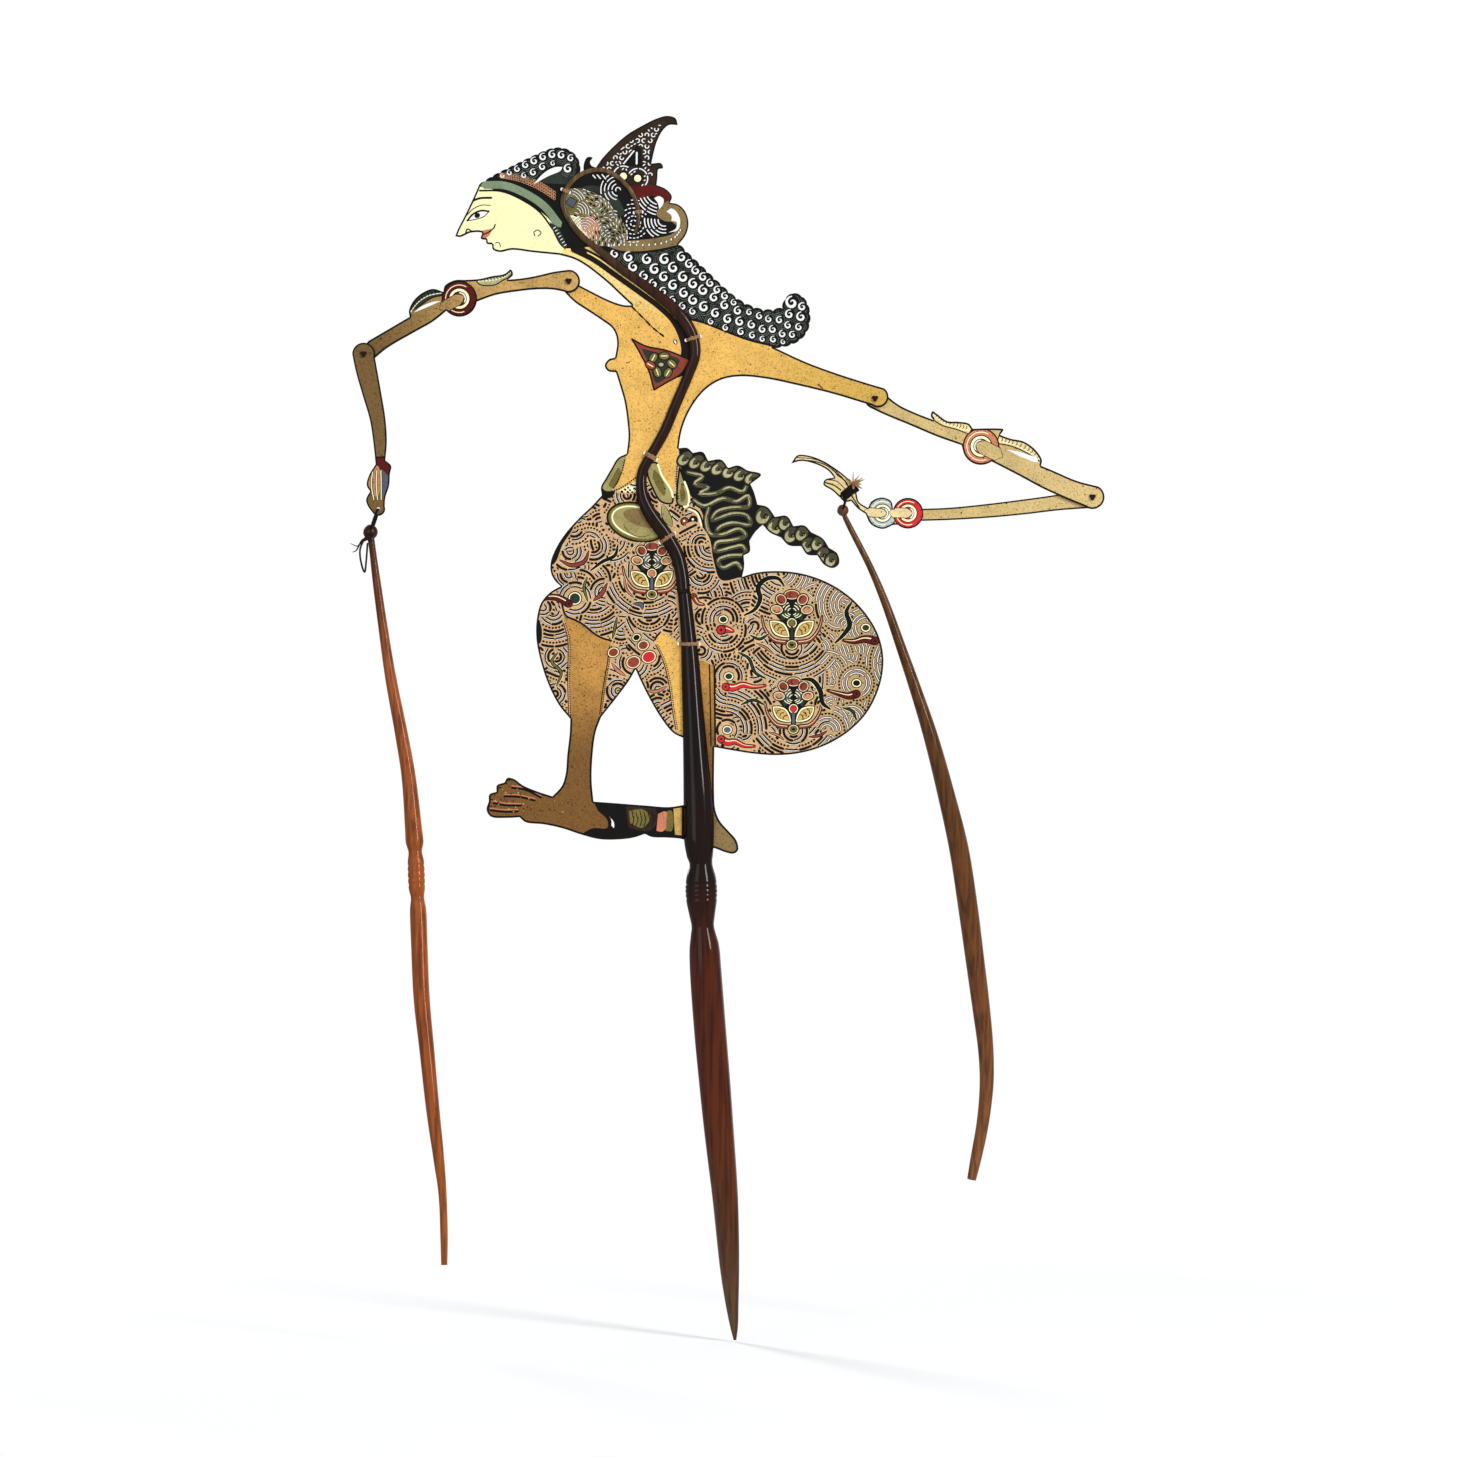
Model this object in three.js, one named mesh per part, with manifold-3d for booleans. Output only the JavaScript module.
// Flat leather rod puppet: one pierced and gilded sheet of rawhide gripped by a split horn rod,
// with two jointed leather arms that are moved by horn rods tied to the hands.
// Millimetres, +Z up. The origin is the spike of the main rod. The painted side faces -Y.
import * as THREE from 'three';
import { mergeVertices } from 'three/addons/utils/BufferGeometryUtils.js';
import Module from 'manifold-3d';

// Driving dimensions
const HIDE = 1.6; // thickness of the rawhide
const LAYER = 2.0; // distance between two hide layers that turn on one knot
const SLOT = 2.2; // slot in the main rod that takes the hide
const FORK_FLOOR = 315.5; // height of the bottom of that slot
const SEAM = 486; // height where the lower fork ends and the upper tines are butted on
const SEAM_GAP = 0.8;
const THREAD = 0.9; // diameter of the tying thread
const THREAD_CLEARANCE = 0.4;
const TIE_DEPTH = 1.3; // width of a tie measured along the rod
const TIE_HOLE = 1.3; // radius of the stitch holes in the hide
const PEG_SHAFT = 1.2; // radius of the thong that pins two hides together
const PEG_HEAD = 2.6; // radius of its knots
const PEG_KNOT = 1.2; // height of its knots
const PEG_GAP = 0.3;
const PEG_HOLE = 1.6; // radius of the hole it turns in
const ROD_LEAN = 6; // degrees that each arm rod stands out from the figure

// Joint centres, as [x, z] in the plane of the hide
const FRONT_SHOULDER = [-108, 688];
const FRONT_ELBOW = [-241, 640.5];
const FRONT_HAND_HOLE = [-231.5, 540];
const FRONT_BALL = [-236.6, 525];
const REAR_SHOULDER = [91, 612];
const REAR_ELBOW = [232.5, 548];
const REAR_HAND_HOLE = [73, 550];
const REAR_BALL = [70.2, 539.5];

// Head: the face looks down and to the left, on axes turned by this angle about the chin
const CHIN = [-146, 711];
const HEAD_TILT = THREE.MathUtils.degToRad(28);

const FRONT_LAYER = { body: 0, upperArm: -LAYER, forearm: -2 * LAYER };
const REAR_LAYER = { body: 0, upperArm: LAYER, forearm: 2 * LAYER };

const wasm = await Module();
wasm.setup();

const puppet = new THREE.Group();

function material(color, roughness, metalness = 0) {
  return new THREE.MeshStandardMaterial({ color, roughness, metalness });
}

const giltHide = material('#d8b060', 0.5, 0.2);
const darkHorn = material('#3a1c10', 0.25);
const amberHorn = material('#a05a28', 0.3);
const brownHorn = material('#5a3018', 0.3);
const paleThread = material('#b08a66', 0.9);
const blackThread = material('#1c1816', 0.9);
const thong = material('#2a2220', 0.7);

function addPiece(name, geometry, look, parent = puppet) {
  const mesh = new THREE.Mesh(geometry, look);
  mesh.name = name;
  parent.add(mesh);
  return mesh;
}

// ---- Solids -------------------------------------------------------------------------------

function mergedOnPosition(geometry) {
  const bare = geometry.clone();
  bare.deleteAttribute('normal');
  bare.deleteAttribute('uv');
  return mergeVertices(bare, 1e-4);
}

function toSolid(geometry) {
  const bare = mergedOnPosition(geometry);
  const mesh = new wasm.Mesh({
    numProp: 3,
    vertProperties: new Float32Array(bare.attributes.position.array),
    triVerts: new Uint32Array(bare.index.array),
  });
  return new wasm.Manifold(mesh);
}

function toGeometry(solid) {
  const mesh = solid.getMesh();
  const geometry = new THREE.BufferGeometry();
  geometry.setAttribute('position', new THREE.BufferAttribute(mesh.vertProperties, 3));
  geometry.setIndex(new THREE.BufferAttribute(mesh.triVerts, 1));
  geometry.computeVertexNormals();
  return geometry;
}

function enclosedVolume(geometry) {
  const { position } = geometry.attributes;
  const [a, b, c] = [new THREE.Vector3(), new THREE.Vector3(), new THREE.Vector3()];
  let volume = 0;
  for (let i = 0; i < geometry.index.count; i += 3) {
    a.fromBufferAttribute(position, geometry.index.getX(i));
    b.fromBufferAttribute(position, geometry.index.getX(i + 1));
    c.fromBufferAttribute(position, geometry.index.getX(i + 2));
    volume += a.dot(b.cross(c)) / 6;
  }
  return volume;
}

// A closed skin over equal rings of points, capped at both ends.
function skin(rings) {
  const sides = rings[0].length;
  const points = rings.flat();
  const triangles = [];
  for (let r = 0; r < rings.length - 1; r += 1) {
    for (let s = 0; s < sides; s += 1) {
      const [a, b] = [r * sides + s, r * sides + ((s + 1) % sides)];
      triangles.push(a, b, b + sides, a, b + sides, a + sides);
    }
  }
  for (const [start, flip] of [[0, true], [(rings.length - 1) * sides, false]]) {
    const centre = new THREE.Vector3();
    for (let s = 0; s < sides; s += 1) {
      centre.addScaledVector(points[start + s], 1 / sides);
    }
    points.push(centre);
    for (let s = 0; s < sides; s += 1) {
      const [a, b] = [start + s, start + ((s + 1) % sides)];
      triangles.push(points.length - 1, flip ? b : a, flip ? a : b);
    }
  }
  const geometry = new THREE.BufferGeometry().setFromPoints(points);
  geometry.setIndex(triangles);
  if (enclosedVolume(geometry) < 0) {
    geometry.setIndex(triangles.toReversed());
  }
  geometry.computeVertexNormals();
  return geometry;
}

// ---- Cut hide -----------------------------------------------------------------------------

const STROKE_STEPS = 2;

// A smooth stroke through hand-chosen points.
function stroke(...places) {
  const points = places.map(([x, z]) => new THREE.Vector3(x, z, 0));
  const curve = new THREE.CatmullRomCurve3(points, false, 'centripetal');
  return curve.getPoints((places.length - 1) * STROKE_STEPS);
}

function arc([x, z], radius, from, to, steps = 8) {
  const points = [];
  for (let i = 0; i <= steps; i += 1) {
    const angle = THREE.MathUtils.degToRad(from + ((to - from) * i) / steps);
    points.push(new THREE.Vector3(x + radius * Math.cos(angle), z + radius * Math.sin(angle), 0));
  }
  return points;
}

const hole = (centre, radius, steps = 8) => [arc(centre, radius, 0, 360, steps)];

// Joins strokes that meet end to end into one closed outline.
function closedOutline(strokes) {
  const points = [];
  for (const point of strokes.flat()) {
    if (points.length === 0 || point.distanceTo(points.at(-1)) > 0.05) {
      points.push(point);
    }
  }
  if (points[0].distanceTo(points.at(-1)) < 0.05) {
    points.pop();
  }
  return points.map(({ x, y }) => new THREE.Vector2(x, y));
}

function cutHide(strokes, openings, layer) {
  const shape = new THREE.Shape(closedOutline(strokes));
  for (const opening of openings) {
    shape.holes.push(new THREE.Path(closedOutline(opening)));
  }
  const geometry = new THREE.ExtrudeGeometry(shape, { depth: HIDE, bevelEnabled: false });
  geometry.rotateX(Math.PI / 2);
  geometry.translate(0, layer + HIDE / 2, 0);
  return geometry;
}

// ---- Main rod and its two upper tines ------------------------------------------------------

// Centre line of the upper tines: [x, z, width], from the seam up the back, round the head
const TINE_COURSE = [
  [-33.4, SEAM + SEAM_GAP, 8.6],
  [-34.4, 497, 8.8],
  [-37.6, 510, 9.2],
  [-45, 523, 9.4],
  [-53.7, 535, 9],
  [-59.4, 546, 8.2],
  [-60.9, 556, 7.2],
  [-59.8, 565, 6.6],
  [-54.8, 574.5, 6.4],
  [-46, 590, 6.6],
  [-38, 609, 6.6],
  [-31.2, 625, 6.6],
  [-26, 640, 7],
  [-26.8, 650, 7.4],
  [-30.6, 659, 7.8],
  [-39, 669.6, 7.4],
  [-49.6, 678.6, 6.8],
  [-61.6, 687.5, 6.2],
  [-74.4, 696.5, 5.8],
  [-83, 704, 5.2],
  [-92, 711, 4.4],
  [-101, 719, 4],
  [-108.5, 729.5, 3.6],
  [-111.8, 739, 3.4],
  [-109.5, 748, 3.2],
  [-104, 755, 3.1],
  [-96, 759.4, 3],
  [-87, 760.4, 3],
  [-78.5, 757.4, 3],
  [-71, 751, 3],
  [-65.5, 743, 3],
  [-63, 734, 3],
  [-63, 726, 2.8],
  [-64.6, 719, 2.6],
];
const TINE_DEPTH_SHARE = 0.42; // depth of one tine over its width

const tineCurve = new THREE.CatmullRomCurve3(
  TINE_COURSE.map(([x, z, width]) => new THREE.Vector3(x, width, z)), false, 'centripetal');

// Place, width and in-plane normal of the tines at a share of their length.
function tineStation(share) {
  const { x, y: width, z } = tineCurve.getPoint(share);
  const ahead = tineCurve.getTangent(share);
  const normal = new THREE.Vector3(-ahead.z, 0, ahead.x).normalize();
  return { place: new THREE.Vector3(x, 0, z), width, normal };
}

// One tine: half round, its flat side on the hide. side is -1 for the front, 1 for the back.
function tine(side) {
  const sections = 52;
  const arcSteps = 5;
  const rings = [];
  for (let i = 0; i <= sections; i += 1) {
    const { place, width, normal } = tineStation(i / sections);
    const depth = width * TINE_DEPTH_SHARE;
    const ring = [];
    for (let j = 0; j <= arcSteps; j += 1) {
      const angle = (Math.PI * j) / arcSteps;
      const point = place.clone().addScaledVector(normal, (width / 2) * Math.cos(angle));
      point.y = side * (SLOT / 2 + depth * Math.sin(angle));
      ring.push(point);
    }
    rings.push(ring);
  }
  return skin(rings);
}

// Main rod from the spike up to the seam: [x, z, half width, half depth]
const MAIN_ROD = [
  [0, 0, 0.9, 0.9],
  [-0.6, 9, 2.6, 2.5],
  [-2, 25, 4.4, 4.2],
  [-3.5, 47, 6.3, 6],
  [-6.3, 92, 8.3, 7.6],
  [-10.4, 136, 9.6, 8.6],
  [-13.6, 172, 10.2, 9],
  [-16.4, 204, 10.4, 9.2],
  [-19.2, 242, 10.2, 9],
  [-19.9, 256, 9.6, 8.6],
  [-20.6, 264, 8.1, 7.5],
  [-20.9, 269, 7.3, 7],
  [-21.3, 276, 8.3, 7.8],
  [-21.7, 286, 10, 9],
  [-21.9, 294, 10.4, 9.4],
  [-22, 302, 9.3, 8.6],
  [-22.1, 309.5, 7.4, 7.2],
  [-22.8, 316, 8.8, 8],
  [-23.4, 325, 9.8, 8.4],
  [-23.6, 338, 9.9, 8.2],
  [-24.2, 355, 9.4, 7.9],
  [-25.6, 380, 8.2, 7.2],
  [-27.3, 410, 7, 6.4],
  [-29, 440, 6, 5.6],
  [-30, 455, 5.2, 5],
  [-31.4, 470, 4.7, 4.7],
  [-33, SEAM, 4.4, 4.7],
];

// A rod of oval section through stations of [x, z, half width, half depth].
function ovalRod(stations, sides, stepsPerSpan) {
  const line = new THREE.CatmullRomCurve3(
    stations.map(([x, z]) => new THREE.Vector3(x, 0, z)), false, 'centripetal');
  const size = new THREE.CatmullRomCurve3(
    stations.map(([, z, wide, deep]) => new THREE.Vector3(wide, z, deep)), false, 'centripetal');
  const sections = (stations.length - 1) * stepsPerSpan;
  const rings = [];
  for (let i = 0; i <= sections; i += 1) {
    const centre = line.getPoint(i / sections);
    const { x: wide, z: deep } = size.getPoint(i / sections);
    const ahead = line.getTangent(i / sections);
    const across = new THREE.Vector3(-ahead.z, 0, ahead.x).normalize();
    const ring = [];
    for (let s = 0; s < sides; s += 1) {
      const angle = (2 * Math.PI * (s + 0.5)) / sides;
      const point = centre.clone().addScaledVector(across, wide * Math.cos(angle));
      point.y += deep * Math.sin(angle);
      ring.push(point);
    }
    rings.push(ring);
  }
  return skin(rings);
}

function mainRod() {
  const slotHeight = 200;
  const slot = new THREE.BoxGeometry(60, SLOT, slotHeight);
  slot.translate(-25, 0, FORK_FLOOR + slotHeight / 2);
  return toGeometry(toSolid(ovalRod(MAIN_ROD, 18, 1)).subtract(toSolid(slot)));
}

addPiece('main_rod', mainRod(), darkHorn);
addPiece('front_tine', tine(-1), darkHorn);
addPiece('back_tine', tine(1), darkHorn);

// ---- Thread ties round both tines -----------------------------------------------------------

// Where the ties sit: a row of TINE_COURSE, fractions lying between two rows.
const TINE_TIES = [
  ['tie_cap_back', 31.1],
  ['tie_cap_front', 23.9],
  ['tie_shoulder', 13.1],
  ['tie_waist', 8],
  ['tie_hip', 2.9],
];
const FORK_TIE_HEIGHT = 452.5;
const FORK_TIE = { place: new THREE.Vector3(-29.9, 0, FORK_TIE_HEIGHT), halfWidth: 5.5, halfDepth: 5.2 };

// A flat loop of thread round an oval of the given half sizes, in the plane across the rod.
function threadLoop(halfWidth, halfDepth) {
  const sides = 12;
  const oval = (grow) => {
    const points = [];
    for (let i = 0; i < sides; i += 1) {
      const angle = (2 * Math.PI * (i + 0.5)) / sides;
      // a superellipse keeps the loop outside the corners of the two half-round tines
      const squared = (value) => Math.sign(value) * Math.abs(value) ** 0.72;
      points.push(new THREE.Vector2(
        (halfWidth + grow) * squared(Math.cos(angle)), (halfDepth + grow) * squared(Math.sin(angle))));
    }
    return points;
  };
  const shape = new THREE.Shape(oval(THREAD));
  shape.holes.push(new THREE.Path(oval(0)));
  const geometry = new THREE.ExtrudeGeometry(shape, { depth: TIE_DEPTH, bevelEnabled: false });
  geometry.translate(0, 0, -TIE_DEPTH / 2);
  return geometry;
}

const stitchHoles = [];

function addTie(name, place, normal, halfWidth, halfDepth) {
  const reach = halfWidth + THREAD_CLEARANCE;
  const mesh = addPiece(name, threadLoop(reach, halfDepth + THREAD_CLEARANCE), paleThread);
  const outOfHide = new THREE.Vector3(0, 1, 0);
  const along = new THREE.Vector3().crossVectors(normal, outOfHide);
  mesh.quaternion.setFromRotationMatrix(new THREE.Matrix4().makeBasis(normal, outOfHide, along));
  mesh.position.copy(place);
  for (const side of [-1, 1]) {
    const stitch = place.clone().addScaledVector(normal, side * (reach + THREAD / 2));
    stitchHoles.push(hole([stitch.x, stitch.z], TIE_HOLE));
  }
}

for (const [name, row] of TINE_TIES) {
  const { place, width, normal } = tineStation(row / (TINE_COURSE.length - 1));
  addTie(name, place, normal, width / 2, SLOT / 2 + width * TINE_DEPTH_SHARE);
}
addTie('tie_thigh', FORK_TIE.place, new THREE.Vector3(1, 0, 0), FORK_TIE.halfWidth, FORK_TIE.halfDepth);

// ---- The figure: one sheet of hide ----------------------------------------------------------

// A place on the face: forward of the chin along the gaze, and up towards the hairline.
function onFace(forward, up) {
  return [
    CHIN[0] - forward * Math.cos(HEAD_TILT) - up * Math.sin(HEAD_TILT),
    CHIN[1] - forward * Math.sin(HEAD_TILT) + up * Math.cos(HEAD_TILT),
  ];
}

const HAIRLINE = onFace(0, 44);

const faceProfile = [
  stroke(HAIRLINE, onFace(5, 40), onFace(15, 32.5), onFace(25, 25.5), onFace(28.5, 22.5)),
  stroke(onFace(28.5, 22.5), onFace(26, 20.6), onFace(19, 20), onFace(14.5, 18.2)),
  stroke(onFace(14.5, 18.2), onFace(12.2, 16.2), onFace(14.6, 13.4), onFace(12, 11)),
  stroke(onFace(12, 11), onFace(12.8, 8.8), onFace(10, 6.6)),
  stroke(onFace(10, 6.6), onFace(11, 3.6), onFace(8, 0), onFace(0, -2.6), [-132, 707.2], [-114, 705.4]),
];

const neckAndFrontShoulder = [
  stroke([-114, 705.4], [-104, 702.4], [-95.5, 697.4], [-88, 691.6], [-82, 686.6], [-74, 679], [-67, 672.5]),
  stroke([-67, 672.5], [-72, 672.6], [-80, 675], [-89, 679.2], [-96, 682.8], [-101.6, 685.7]),
  arc(FRONT_SHOULDER, 6.8, -20, 235, 11),
  stroke([-111.9, 682.43], [-104.5, 675], [-95, 668.6], [-86, 662.6], [-80, 658], [-77.3, 653],
    [-76.6, 647], [-78, 638.5]),
];

const chest = [
  stroke([-78, 638.5], [-82, 637.4], [-84.6, 633.4], [-82.6, 629.9], [-77.4, 629]),
  stroke([-77.4, 629], [-74.6, 620], [-71.8, 610], [-70, 598], [-69.2, 587], [-70.4, 576]),
];

const frontLeg = [
  stroke([-70.4, 576], [-76, 573.2], [-80.5, 566], [-84, 560], [-87, 554.5], [-86.5, 549]),
  stroke([-86.5, 549], [-93, 542], [-101, 534.4], [-109, 525.6], [-115.5, 516], [-119.6, 506],
    [-119.5, 498.5], [-116.5, 493], [-113.2, 490]),
  stroke([-113.2, 490], [-120, 486], [-126, 479], [-128.8, 468], [-129, 456], [-126.5, 442.5],
    [-121.5, 427], [-114.5, 413], [-107, 403.8]),
  stroke([-107, 403.8], [-107.4, 394], [-109, 380], [-110, 368], [-112.6, 360], [-118.6, 353.4]),
  stroke([-118.6, 353.4], [-128, 356.4], [-138, 360.6], [-143.5, 364.6], [-147.8, 365.4], [-149.8, 362.4]),
  stroke([-149.8, 362.4], [-154.6, 360.6], [-155, 356.4]),
  stroke([-155, 356.4], [-159.6, 354.6], [-160, 350]),
  stroke([-160, 350], [-161.4, 344.6], [-158.6, 340.2], [-148, 339.4], [-140, 339.8]),
  stroke([-140, 339.8], [-136, 336.6], [-124, 335.2], [-112, 332.6], [-100, 328.6], [-88, 325.6],
    [-76, 325.4], [-66, 326.6], [-58.6, 329]),
];

const rearFoot = [
  stroke([-58.6, 329], [-54, 327], [-44, 326.6], [-34, 325.6], [-24, 322], [-13, 319.6],
    [-6, 317], [-1, 316.2], [2, 318.4], [1, 324.6], [-4, 330.6], [-9.6, 337], [-12.8, 344.6], [-13.6, 358],
    [-13.4, 385.4]),
];

const dodot = [
  stroke([-13.4, 385.4], [0, 383], [12, 381.2], [26, 380.2], [40, 381.2], [53, 384.4], [65, 389.8],
    [76, 397.4], [85.4, 407.4], [92, 419.6], [95.8, 433], [96.2, 446], [93, 458.6], [86.6, 470],
    [78, 480], [67, 488.6], [54, 495], [40, 498.8], [26, 499.8], [14, 498.8], [4.6, 496]),
];

const sash = [
  stroke([4.6, 496], [6, 503], [5.6, 510]),
  stroke([5.6, 510], [9.6, 512.4], [9.4, 519.4]),
  stroke([9.4, 519.4], [13, 525], [18, 530]),
  stroke([18, 530], [22.6, 525], [30, 521.6]),
  stroke([30, 521.6], [35, 516.6], [43, 516]),
  stroke([43, 516], [47, 510.6], [53.6, 510]),
  stroke([53.6, 510], [58, 504], [63.6, 501.8], [67.6, 504.6], [66.6, 511], [61, 515]),
  stroke([61, 515], [57, 521], [49.6, 525]),
  stroke([49.6, 525], [45, 529.4], [38, 529]),
  stroke([38, 529], [33.6, 535.6], [26, 535]),
  stroke([26, 535], [21, 541.4], [14.6, 543]),
  stroke([14.6, 543], [12.4, 551], [10, 556.4]),
  stroke([10, 556.4], [17, 562.6], [8, 565.2]),
  stroke([8, 565.2], [2, 568.4], [-4.4, 566.8]),
  stroke([-4.4, 566.8], [-9, 572.2], [-17.4, 571.4]),
  stroke([-17.4, 571.4], [-21, 577.2], [-27.4, 576.6]),
  stroke([-27.4, 576.6], [-31, 579.8], [-36.6, 579.6]),
];

const rearShoulderAndBack = [
  stroke([-36.6, 579.6], [-35, 590], [-31.6, 600], [-26, 610], [-18.6, 618.4], [-9, 624.2],
    [3, 626.4], [20, 625], [42, 620.4], [64, 615], [82, 609.6], [89.1, 607.43]),
  arc([93, 613], 6.8, 235, 415, 9),
  stroke([96.9, 618.57], [84, 622.4], [66, 628.2], [46, 635.6], [24.4, 645.6]),
];

const hair = [
  stroke([24.4, 645.6], [33, 646.6], [42, 650.6], [47, 657], [48.2, 665], [46.8, 673], [42, 679],
    [37, 680], [33, 676.4], [31, 670.4]),
  stroke([31, 670.4], [22, 668.4], [13, 670.2], [4, 674.2], [-5, 681], [-14, 689.4], [-22, 697.2],
    [-30, 704.8], [-37, 711.8]),
];

const crown = [
  stroke([-37, 711.8], [-32, 718.4], [-30.2, 726], [-32.4, 733.6], [-37, 738], [-42.4, 739.2]),
  stroke([-42.4, 739.2], [-41, 743], [-43.6, 747], [-47.6, 749.4], [-51, 750.6]),
  stroke([-51, 750.6], [-50.4, 756], [-49.8, 761], [-46.8, 761.8], [-48, 764.8], [-54.4, 764.6]),
  stroke([-54.4, 764.6], [-52.8, 772], [-50.8, 779], [-47.2, 786], [-43, 789.8], [-37.2, 789.8]),
  stroke([-37.2, 789.8], [-38.6, 794], [-43.6, 795.6], [-50, 794.2], [-60, 789.4], [-70, 783.4],
    [-79, 775.6], [-86, 768.2], [-90.4, 762]),
];

const foreheadLock = [
  stroke([-90.4, 762], [-93.4, 763.4], [-94.2, 766], [-92.6, 768.4], [-95.8, 768.8], [-98.2, 764.6],
    [-98.4, 758.6]),
  stroke([-98.4, 758.6], [-101.4, 758.4]),
  stroke([-101.4, 758.4], [-101.2, 764], [-104, 770], [-109.6, 773.6], [-117, 774.4], [-127, 770.8],
    [-138, 765.6], [-149, 760.2], [-159, 755], HAIRLINE),
];

const figureOutline = [
  ...faceProfile, ...neckAndFrontShoulder, ...chest, ...frontLeg, ...rearFoot, ...dodot, ...sash,
  ...rearShoulderAndBack, ...hair, ...crown, ...foreheadLock,
];

const betweenLegs = [
  stroke([-64.6, 436], [-69, 428.4], [-77, 417.6], [-87, 405]),
  stroke([-87, 405], [-90.6, 395], [-92.6, 380], [-93.2, 364], [-92, 350]),
  stroke([-92, 350], [-76, 348.8], [-58, 347.4], [-43, 346.4], [-32, 348]),
  stroke([-32, 348], [-31.4, 368], [-32.6, 391]),
  stroke([-32.6, 391], [-40, 394.6], [-48, 404.4], [-56, 418], [-61, 428], [-64.6, 436]),
];
const underForeheadLock = [
  stroke([-131.4, 750.8], [-124, 758.8], [-117, 762.4], [-112, 762.6]),
  stroke([-112, 762.6], [-113.4, 760], [-121, 756.6], [-131.4, 750.8]),
];
const underRedCurl = [
  stroke([-52.6, 742.2], [-49.4, 743.6], [-46.4, 741.6], [-46.8, 738], [-49.2, 735]),
  stroke([-49.2, 735], [-50.2, 739], [-52.6, 742.2]),
];
const insideGoldHook = [
  stroke([-44.6, 733.6], [-41.4, 735.6], [-38, 733.4], [-35.6, 727.6], [-37, 721.6], [-44, 719.6]),
  stroke([-44, 719.6], [-38.4, 722.6], [-38, 726.6], [-41.4, 727.4]),
  stroke([-41.4, 727.4], [-41.2, 730.6], [-44.6, 733.6]),
];

const figureOpenings = [
  betweenLegs, underForeheadLock, underRedCurl, insideGoldHook,
  hole(FRONT_SHOULDER, PEG_HOLE), hole(REAR_SHOULDER, PEG_HOLE), ...stitchHoles,
];
addPiece('figure_hide', cutHide(figureOutline, figureOpenings, FRONT_LAYER.body), giltHide);

// ---- Arms -----------------------------------------------------------------------------------

const frontUpperArm = [
  arc(FRONT_SHOULDER, 7.4, 245, 450, 9),
  stroke([-108, 695.4], [-118, 694], [-130, 691.2], [-140, 689.6], [-147.6, 689]),
  stroke([-147.6, 689], [-144.2, 692.4], [-145.6, 695.6], [-149.4, 692.8], [-158, 691.2], [-166, 689.4],
    [-175, 688.8]),
  stroke([-175, 688.8], [-182, 688.6], [-188.4, 685], [-189.4, 681]),
  stroke([-189.4, 681], [-196, 683], [-203, 680.4], [-208.6, 675.4], [-211.8, 668.6], [-211.2, 664.9]),
  stroke([-211.2, 664.9], [-224, 657.4], [-238, 649.2]),
  arc(FRONT_ELBOW, 6.6, 80, 300, 9),
  stroke([-237.7, 634.8], [-226, 644.6], [-210, 654], [-196, 662], [-187.5, 668.8]),
  arc([-179, 676.4], 11.4, 222, 352, 9),
  stroke([-167.7, 674.8], [-156, 679], [-142, 681.4], [-128, 682.8], [-118, 682.6], [-111.1, 681.3]),
];
const frontOrnamentGap = [
  stroke([-209, 667.4], [-204, 671.6], [-196, 674.8], [-190.6, 675.4]),
  stroke([-190.6, 675.4], [-197, 672.4], [-209, 667.4]),
];
addPiece('front_upper_arm', cutHide(
  frontUpperArm,
  [frontOrnamentGap, hole(FRONT_SHOULDER, PEG_HOLE), hole(FRONT_ELBOW, PEG_HOLE)],
  FRONT_LAYER.upperArm), giltHide);

const frontForearm = [
  arc(FRONT_ELBOW, 7.4, -15, 180, 9),
  stroke([-248.4, 640.5], [-246, 629], [-241.6, 613.6], [-237, 598], [-234.8, 584], [-233.2, 569]),
  stroke([-233.2, 569], [-237.4, 562], [-239, 555.4], [-236.8, 551.4]),
  stroke([-236.8, 551.4], [-239.4, 546], [-238, 541.4], [-235.3, 537.8]),
  arc(FRONT_HAND_HOLE, 4.4, 210, 380, 9),
  stroke([-227.4, 541.5], [-227, 547.4], [-224.6, 555], [-224, 563], [-223.2, 568], [-227, 571.6]),
  stroke([-227, 571.6], [-226, 584], [-227, 599], [-229.6, 615], [-233.8, 638.6]),
];
addPiece('front_forearm', cutHide(
  frontForearm, [hole(FRONT_ELBOW, PEG_HOLE), hole(FRONT_HAND_HOLE, TIE_HOLE)],
  FRONT_LAYER.forearm), giltHide);

const rearUpperArm = [
  arc(REAR_SHOULDER, 6.6, 60, 245, 9),
  stroke([88.2, 606], [98, 601.4], [114, 594.8], [132, 587.2], [147.4, 581.8]),
  arc([160, 581], 12, 190, 305, 9),
  stroke([166.9, 571.2], [184, 562.4], [200, 553.8], [214, 547.4], [228, 541.6]),
  arc(REAR_ELBOW, 7.8, 235, 420, 10),
  stroke([236.4, 554.8], [222, 558.6], [208, 564.6], [199, 568.4]),
  stroke([199, 568.4], [199.6, 572], [195.6, 578.4], [188, 584], [179, 586], [172.4, 588.4]),
  stroke([172.4, 588.4], [174.6, 592], [170, 592.6], [162, 592.6], [154.6, 592.4]),
  stroke([154.6, 592.4], [152, 595.8], [144.6, 597], [138, 597.4], [131.4, 602], [128.4, 603.8],
    [127.4, 600.6], [129.4, 598]),
  stroke([129.4, 598], [118, 602.4], [106, 608.2], [94.3, 617.7]),
];
const rearOrnamentGap = [
  stroke([176, 579.2], [186, 577.2], [196.6, 573.6]),
  stroke([196.6, 573.6], [197, 570.6], [186, 574.2], [176, 579.2]),
];
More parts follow.
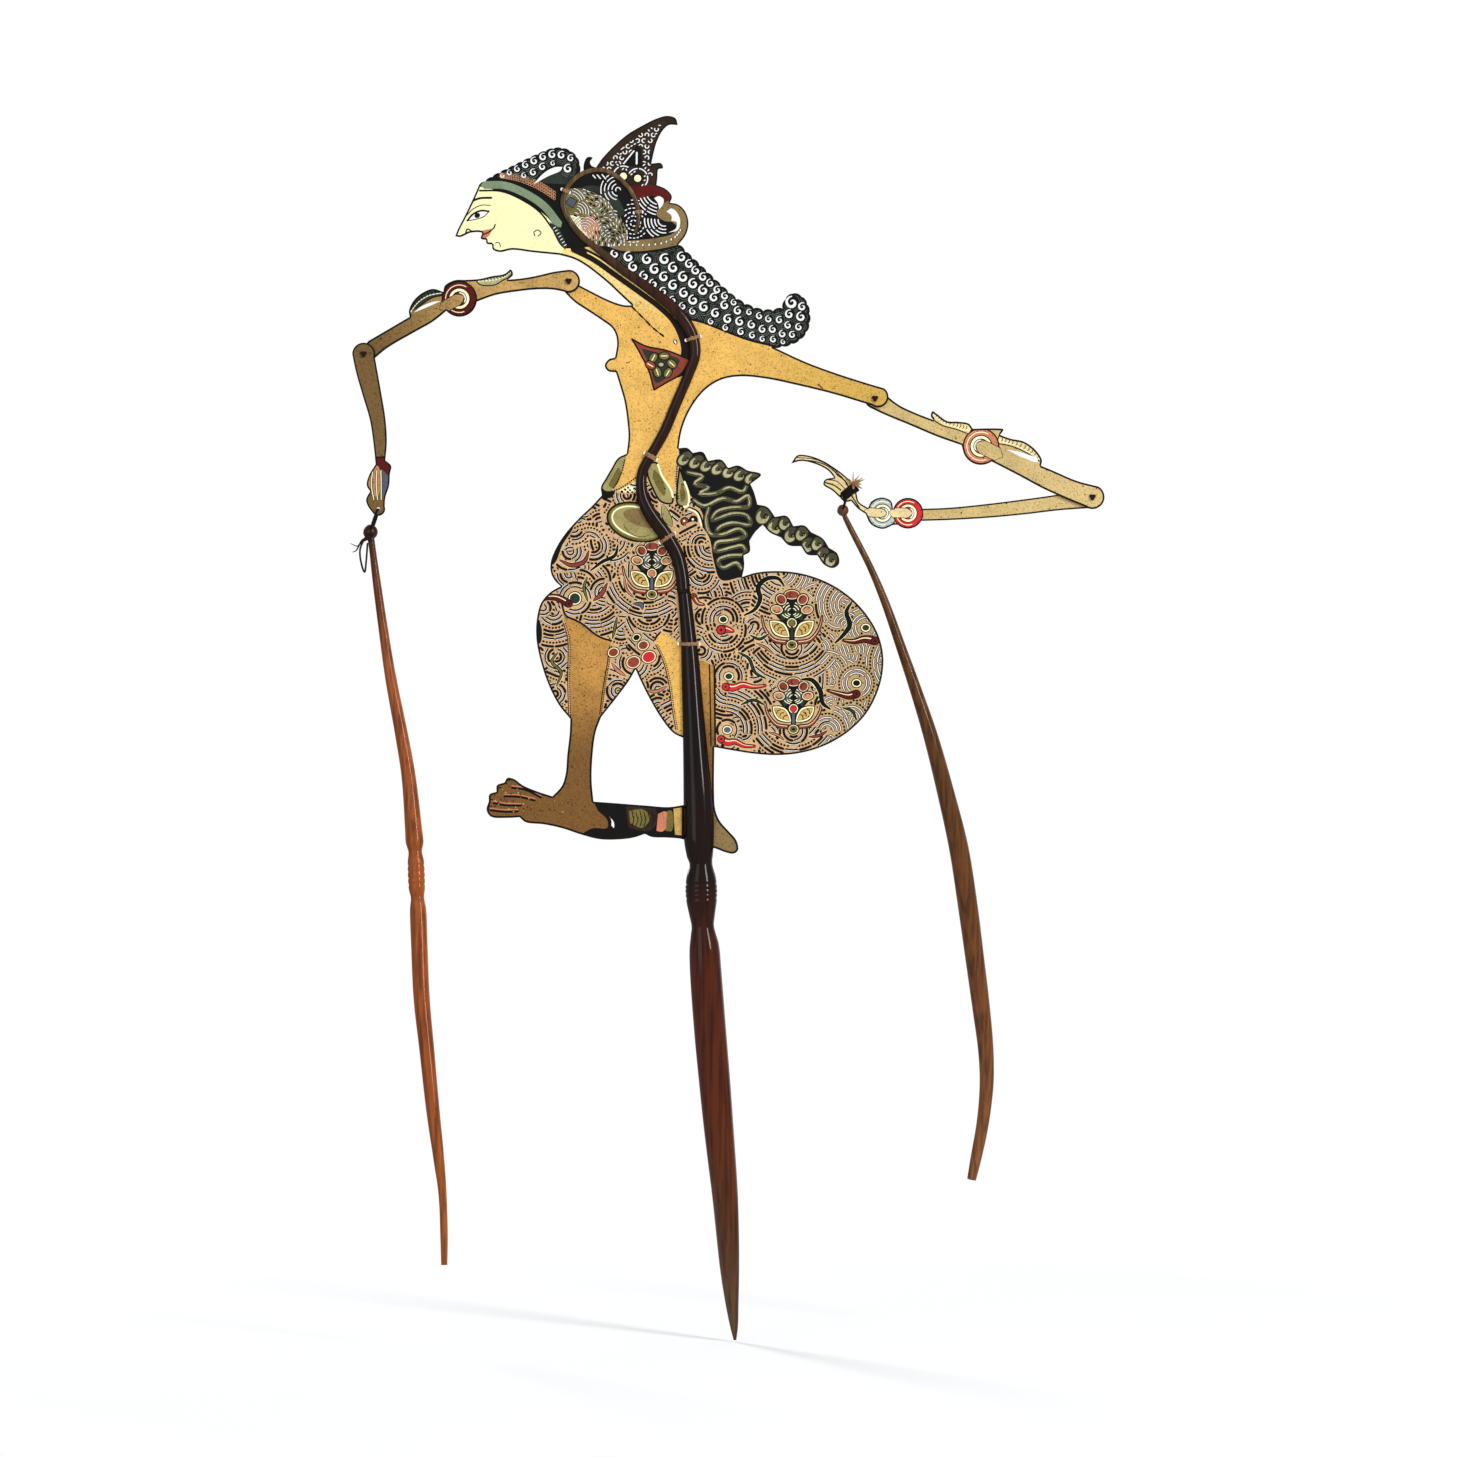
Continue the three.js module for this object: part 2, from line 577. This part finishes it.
addPiece('rear_upper_arm', cutHide(
  rearUpperArm,
  [rearOrnamentGap, hole(REAR_SHOULDER, PEG_HOLE), hole(REAR_ELBOW, PEG_HOLE)],
  REAR_LAYER.upperArm), giltHide);

const rearForearm = [
  arc(REAR_ELBOW, 7, 270, 420, 9),
  stroke([236, 554.06], [226, 552.4], [208, 549.4], [188, 546.6], [164, 543.6], [140, 541.2], [121, 540.4]),
  arc([112.6, 537.6], 10, 15, 165, 8),
  stroke([102.9, 540.2], [101.6, 545.4], [95.6, 547.8], [89, 545.4], [86.6, 541]),
  stroke([86.6, 541], [80.6, 545], [79, 551], [76.6, 557], [71, 562.4], [64, 567.6], [57, 571.8],
    [48, 575], [40.6, 575.2], [36.6, 570]),
  stroke([36.6, 570], [43, 571.6], [52, 569.8], [60.4, 565.6], [64.6, 560.8]),
  stroke([64.6, 560.8], [58.6, 559.4], [57.6, 556.2], [63.4, 552.4], [67.4, 548.6]),
  arc(REAR_HAND_HOLE, 5, 205, 300, 7),
  stroke([75.5, 545.7], [80, 540.6], [85, 537.2]),
  stroke([85, 537.2], [88.4, 530.6], [96, 527.4], [103, 530]),
  arc([112.6, 537.6], 10, 228, 330, 7),
  stroke([121.26, 532.6], [140, 533.2], [164, 534.6], [188, 536.8], [212, 539.6], [232.5, 541]),
];
addPiece('rear_forearm', cutHide(
  rearForearm, [hole(REAR_ELBOW, PEG_HOLE), hole(REAR_HAND_HOLE, TIE_HOLE)],
  REAR_LAYER.forearm), giltHide);

// ---- Thong pegs at the four hide joints -------------------------------------------------------

// A thong through two hides, knotted on both sides: layers are the planes of the two hides.
function addPeg(name, [x, z], layers) {
  const near = Math.min(...layers) - HIDE / 2 - PEG_GAP;
  const far = Math.max(...layers) + HIDE / 2 + PEG_GAP;
  const profile = [
    [0, near - PEG_KNOT],
    [PEG_HEAD * 0.7, near - PEG_KNOT],
    [PEG_HEAD, near - PEG_KNOT / 2],
    [PEG_HEAD, near],
    [PEG_SHAFT, near],
    [PEG_SHAFT, far],
    [PEG_HEAD, far],
    [PEG_HEAD, far + PEG_KNOT / 2],
    [PEG_HEAD * 0.7, far + PEG_KNOT],
    [0, far + PEG_KNOT],
  ];
  const geometry = new THREE.LatheGeometry(profile.map(([r, y]) => new THREE.Vector2(r, y)), 10);
  const mesh = addPiece(name, geometry, thong);
  mesh.position.set(x, 0, z);
}

addPeg('front_shoulder_peg', FRONT_SHOULDER, [FRONT_LAYER.body, FRONT_LAYER.upperArm]);
addPeg('front_elbow_peg', FRONT_ELBOW, [FRONT_LAYER.upperArm, FRONT_LAYER.forearm]);
addPeg('rear_shoulder_peg', REAR_SHOULDER, [REAR_LAYER.body, REAR_LAYER.upperArm]);
addPeg('rear_elbow_peg', REAR_ELBOW, [REAR_LAYER.upperArm, REAR_LAYER.forearm]);

// ---- Arm rods and the thread loops that hang them on the hands ---------------------------------

// Front arm rod below its ball: [x, z, half width, half depth]
const FRONT_ROD = [
  [-236, 519.4, 2.2, 2.2],
  [-235, 512, 2.2, 2.2],
  [-232.6, 494, 2.6, 2.6],
  [-228.6, 466, 3, 3],
  [-223, 430, 3.6, 3.5],
  [-215.6, 392, 4.2, 4],
  [-211, 365, 4.6, 4.4],
  [-207.8, 332, 5.5, 5.2],
  [-207, 323, 5.7, 5.4],
  [-206.6, 317, 4.4, 4.2],
  [-206.2, 311, 5.2, 5],
  [-205.8, 302, 5.5, 5.3],
  [-205.4, 293, 5.2, 5],
  [-205, 287.5, 4.3, 4.1],
  [-204.6, 280, 5.2, 5],
  [-203.6, 255, 5.3, 5],
  [-202, 222, 5.2, 4.9],
  [-198.6, 190, 4.8, 4.6],
  [-194.4, 150, 4.3, 4.1],
  [-190.6, 120, 3.5, 3.3],
  [-188, 96, 2.6, 2.5],
  [-187, 70, 2.4, 2.3],
  [-186.8, 52, 2, 2],
];
const FRONT_BALL_RADIUS = 4.8;

// Rear arm rod below its ball
const REAR_ROD = [
  [71.8, 534.6, 1.7, 1.7],
  [75.6, 527, 1.9, 1.9],
  [88.4, 501.8, 2.2, 2.2],
  [98, 479, 2.7, 2.7],
  [107.6, 452, 3.2, 3.2],
  [118, 422, 3.9, 3.8],
  [128, 391, 4.8, 4.6],
  [138.4, 352, 5.7, 5.4],
  [146.4, 318, 6.4, 6],
  [152.4, 280, 6.5, 6.1],
  [157, 246, 6.2, 5.8],
  [161.6, 211, 5.8, 5.5],
  [164.6, 184, 5.1, 4.8],
  [165.2, 162, 4.6, 4.4],
  [162.8, 136, 4.1, 4],
  [158.8, 114, 3.7, 3.6],
  [155.6, 98, 3, 3],
];
const REAR_BALL_RADIUS = 3.8;

// A horn rod whose top ends in a ball, drilled along the thread loop that it hangs on.
function armRod(stations, ball, ballRadius, loopCentre, loopRadius, loopTurn) {
  const bead = new THREE.SphereGeometry(ballRadius, 14, 10);
  bead.translate(ball[0], 0, ball[1]);
  const [topX, topZ, topWide, topDeep] = stations[0];
  const neck = [(topX + ball[0]) / 2, (topZ + ball[1]) / 2, topWide, topDeep];
  const drill = new THREE.TorusGeometry(loopRadius, THREAD / 2 + THREAD_CLEARANCE + 0.1, 8, 48);
  drill.applyQuaternion(loopTurn);
  drill.translate(loopCentre.x, 0, loopCentre.z);
  const solid = toSolid(ovalRod([neck, ...stations], 12, 1)).add(toSolid(bead));
  return toGeometry(solid.subtract(toSolid(drill)));
}

// Hangs a rod from the hole in a hand: the loop turns in the hand about Y, and the rod leans out
// of the figure's plane about the loop's own centre.
function addArmRod(names, handHole, ball, ballRadius, stations, layer, rodLook) {
  const down = new THREE.Vector3(ball[0] - handHole[0], 0, ball[1] - handHole[1]);
  const loopRadius = down.length() / 2;
  down.normalize();
  const centre = new THREE.Vector3(handHole[0], 0, handHole[1]).addScaledVector(down, loopRadius);
  const outward = new THREE.Vector3(0, Math.sign(layer), 0);
  const leanAxis = new THREE.Vector3().crossVectors(down, outward);
  const loopTurn = new THREE.Quaternion().setFromUnitVectors(new THREE.Vector3(0, 0, 1), leanAxis);

  const loop = addPiece(
    names.loop, new THREE.TorusGeometry(loopRadius, THREAD / 2, 6, 28), blackThread);
  loop.quaternion.copy(loopTurn);
  loop.position.set(centre.x, layer, centre.z);

  const pivot = new THREE.Group();
  pivot.position.set(centre.x, layer, centre.z);
  pivot.quaternion.setFromAxisAngle(leanAxis, THREE.MathUtils.degToRad(ROD_LEAN));
  puppet.add(pivot);
  const rod = armRod(stations, ball, ballRadius, centre, loopRadius, loopTurn);
  rod.translate(-centre.x, 0, -centre.z);
  addPiece(names.rod, rod, rodLook, pivot);
}

addArmRod(
  { loop: 'front_hand_loop', rod: 'front_arm_rod' },
  FRONT_HAND_HOLE, FRONT_BALL, FRONT_BALL_RADIUS, FRONT_ROD, FRONT_LAYER.forearm, amberHorn);
addArmRod(
  { loop: 'rear_hand_loop', rod: 'rear_arm_rod' },
  REAR_HAND_HOLE, REAR_BALL, REAR_BALL_RADIUS, REAR_ROD, REAR_LAYER.forearm, brownHorn);

export default puppet;
